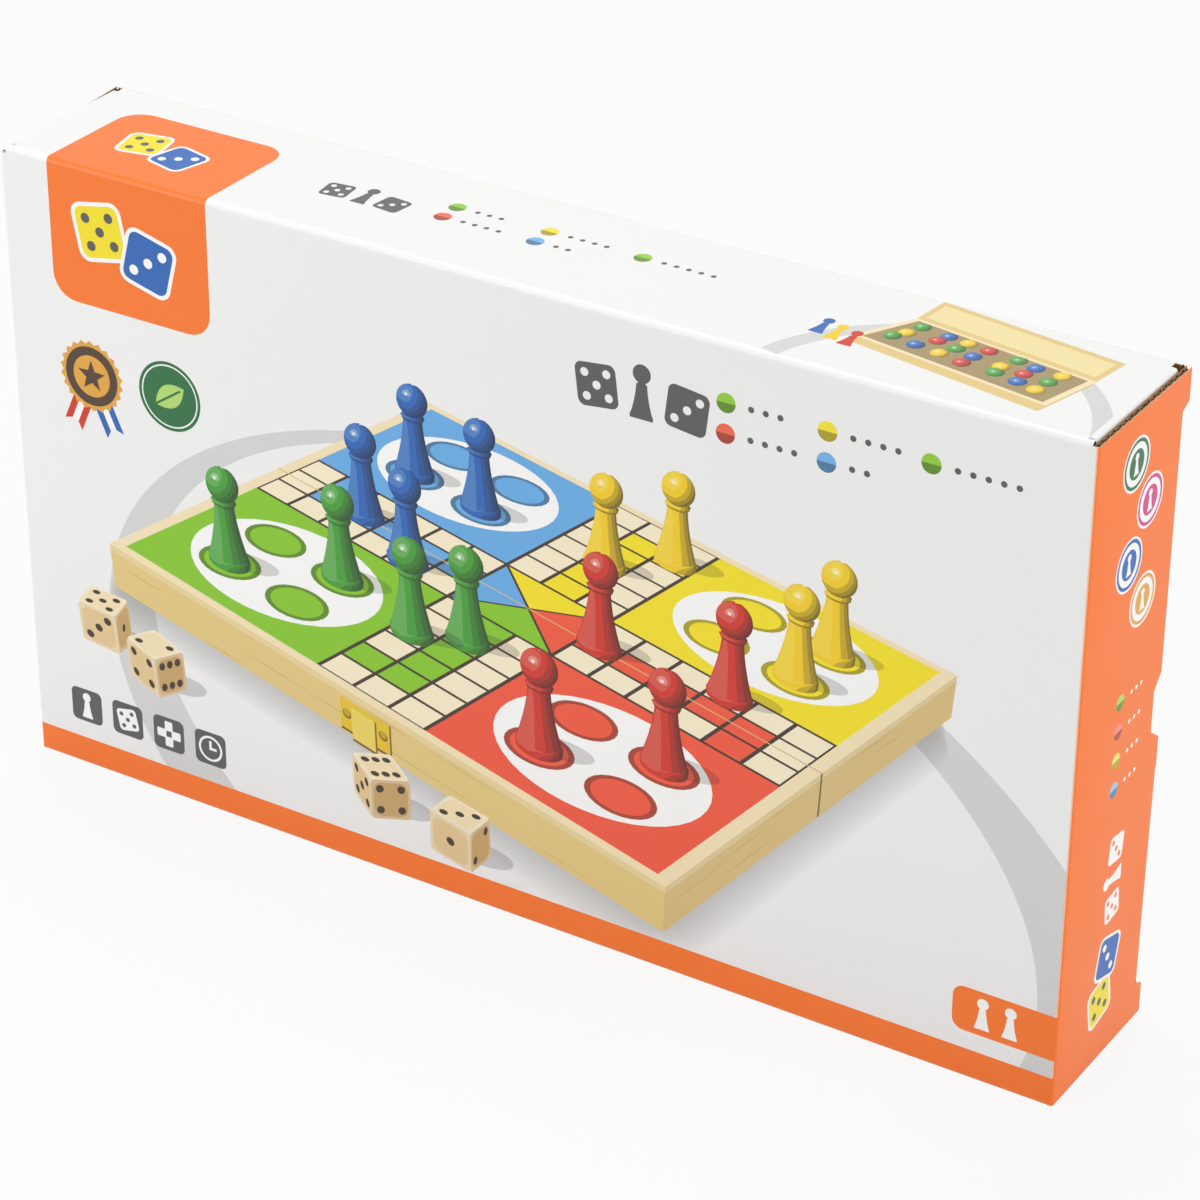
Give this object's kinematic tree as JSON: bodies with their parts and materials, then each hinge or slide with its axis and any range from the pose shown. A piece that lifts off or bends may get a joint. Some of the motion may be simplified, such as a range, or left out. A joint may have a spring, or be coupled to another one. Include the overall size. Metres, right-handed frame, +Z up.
{
  "type": "boxed ludo board game",
  "caption": "Printed corrugated tuck-end carton standing on its long edge, holding a folding wooden ludo case with hinges, clasp, turned pawns, dice and a rules leaflet.",
  "frame": {"origin": "middle of the carton's bottom, on the surface that it stands on", "axes": "+X along the carton's length to the viewer's right, +Y from its printed front to its back, +Z up"},
  "size_m": [0.31, 0.048, 0.18],
  "materials": {
    "printed_board": "satin laminated",
    "leaflet_paper": "matte",
    "pale_wood": "clear lacquer",
    "printed_wood": "clear lacquer",
    "brass": "polished",
    "red_lacquer": "gloss lacquer",
    "green_lacquer": "gloss lacquer",
    "blue_lacquer": "gloss lacquer",
    "yellow_lacquer": "gloss lacquer",
    "die_wood": "clear lacquer"
  },
  "bodies": {
    "carton": {"front_panel": "printed_board", "top_panel": "printed_board", "back_panel": "printed_board", "bottom_panel": "printed_board", "glue_flap": "printed_board", "rules_leaflet": "leaflet_paper"},
    "right_closure": {"right_closure": "printed_board", "right_tongue": "printed_board"},
    "right_upper_dust": {"right_upper_dust_flap": "printed_board"},
    "right_lower_dust": {"right_lower_dust_flap": "printed_board"},
    "left_closure": {"left_closure": "printed_board", "left_tongue": "printed_board"},
    "left_upper_dust": {"left_upper_dust_flap": "printed_board"},
    "left_lower_dust": {"left_lower_dust_flap": "printed_board"},
    "case": {"base_hinge_rail": "pale_wood", "base_right_rail": "pale_wood", "base_clasp_rail": "pale_wood", "base_left_rail": "pale_wood", "lid_hinge_rail": "pale_wood", "lid_right_rail": "pale_wood", "lid_clasp_rail": "pale_wood", "lid_left_rail": "pale_wood", "base_board": "printed_wood", "lid_board": "printed_wood", "left_hinge_base_leaf": "brass", "left_hinge_lid_leaf": "brass", "left_hinge_pin": "brass", "right_hinge_base_leaf": "brass", "right_hinge_lid_leaf": "brass", "right_hinge_pin": "brass", "hinge_screws": "brass", "clasp_plate": "brass", "clasp_pin": "brass", "clasp_catch": "brass", "clasp_screws": "brass", "red_pawn_1": "red_lacquer", "red_pawn_2": "red_lacquer", "red_pawn_3": "red_lacquer", "red_pawn_4": "red_lacquer", "green_pawn_1": "green_lacquer", "green_pawn_2": "green_lacquer", "green_pawn_3": "green_lacquer", "green_pawn_4": "green_lacquer", "blue_pawn_1": "blue_lacquer", "blue_pawn_2": "blue_lacquer", "blue_pawn_3": "blue_lacquer", "blue_pawn_4": "blue_lacquer", "yellow_pawn_1": "yellow_lacquer", "yellow_pawn_2": "yellow_lacquer", "yellow_pawn_3": "yellow_lacquer", "yellow_pawn_4": "yellow_lacquer", "die_1": "die_wood", "die_2": "die_wood", "die_3": "die_wood", "die_4": "die_wood"},
    "hasp": {"clasp_hasp": "brass"}
  },
  "joints": [
    {"name": "right_closure_fold", "type": "hinge", "parent": "carton", "child": "right_closure", "pos_m": [0.15425, -0.02325, 0.09], "axis": [0, 0, -1], "range_deg": [0, 180]},
    {"name": "right_upper_dust_fold", "type": "hinge", "parent": "carton", "child": "right_upper_dust", "pos_m": [0.15245, 0, 0.17925], "axis": [0, -1, 0], "range_deg": [0, 90]},
    {"name": "right_lower_dust_fold", "type": "hinge", "parent": "carton", "child": "right_lower_dust", "pos_m": [0.15245, 0, 0.00075], "axis": [0, 1, 0], "range_deg": [0, 90]},
    {"name": "left_closure_fold", "type": "hinge", "parent": "carton", "child": "left_closure", "pos_m": [-0.15425, -0.02325, 0.09], "axis": [0, 0, 1], "range_deg": [0, 180]},
    {"name": "left_upper_dust_fold", "type": "hinge", "parent": "carton", "child": "left_upper_dust", "pos_m": [-0.15245, 0, 0.17925], "axis": [0, 1, 0], "range_deg": [0, 90]},
    {"name": "left_lower_dust_fold", "type": "hinge", "parent": "carton", "child": "left_lower_dust", "pos_m": [-0.15245, 0, 0.00075], "axis": [0, -1, 0], "range_deg": [0, 90]},
    {"name": "case_slide", "type": "slide", "parent": "carton", "child": "case", "axis": [1, 0, 0], "range_m": [-0.006, 0.006]},
    {"name": "clasp_swing", "type": "hinge", "parent": "case", "child": "hasp", "pos_m": [0, -0.005, 0.16085], "axis": [1, 0, 0], "range_deg": [0, 150]}
  ],
  "couplings": [
    {"joint": "right_upper_dust_fold", "follows": "right_closure_fold", "ratio": 0.5},
    {"joint": "right_lower_dust_fold", "follows": "right_closure_fold", "ratio": 0.5},
    {"joint": "left_upper_dust_fold", "follows": "left_closure_fold", "ratio": 0.5},
    {"joint": "left_lower_dust_fold", "follows": "left_closure_fold", "ratio": 0.5}
  ]
}
